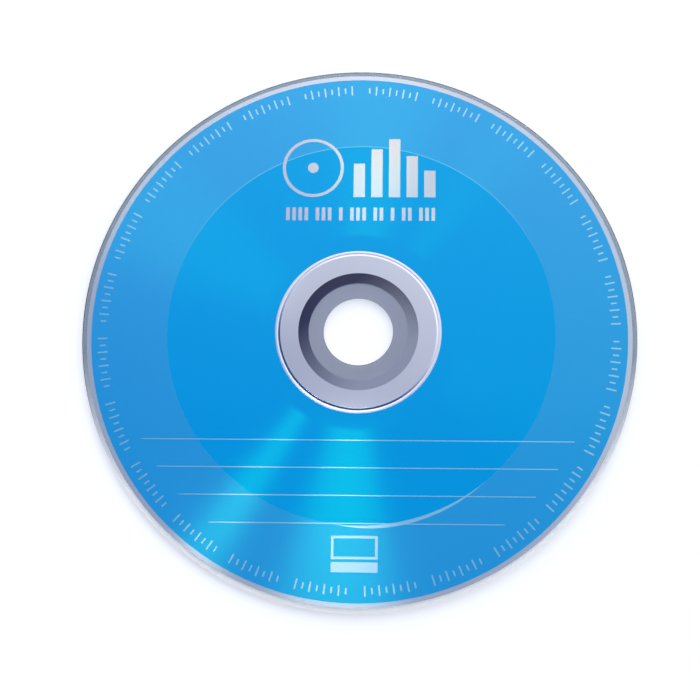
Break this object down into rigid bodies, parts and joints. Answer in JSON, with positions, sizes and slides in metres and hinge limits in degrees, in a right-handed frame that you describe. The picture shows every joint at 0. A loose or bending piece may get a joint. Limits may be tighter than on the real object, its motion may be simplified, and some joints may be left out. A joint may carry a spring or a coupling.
{
  "type": "compact disc",
  "caption": "Flat round recordable optical disc with a central bore, clear hub and rim, silver film and a blue printed label side.",
  "frame": {"origin": "on the disc's axis, at the lowest point of the stacking ring that it rests on", "axes": "+Z along the bore, out of the printed side; +Y to the top of the print; +X along the ruled writing lines"},
  "size_m": [0.12, 0.12, 0.0015],
  "materials": {
    "clear_polycarbonate": "polished",
    "silver_film": "gloss",
    "deep_blue_ink": "satin",
    "light_blue_ink": "satin"
  },
  "bodies": {
    "root": {"polycarbonate_disc": "clear_polycarbonate", "reflective_layer": "silver_film", "label_ink_inner": "deep_blue_ink", "label_ink_outer": "light_blue_ink"}
  },
  "joints": []
}
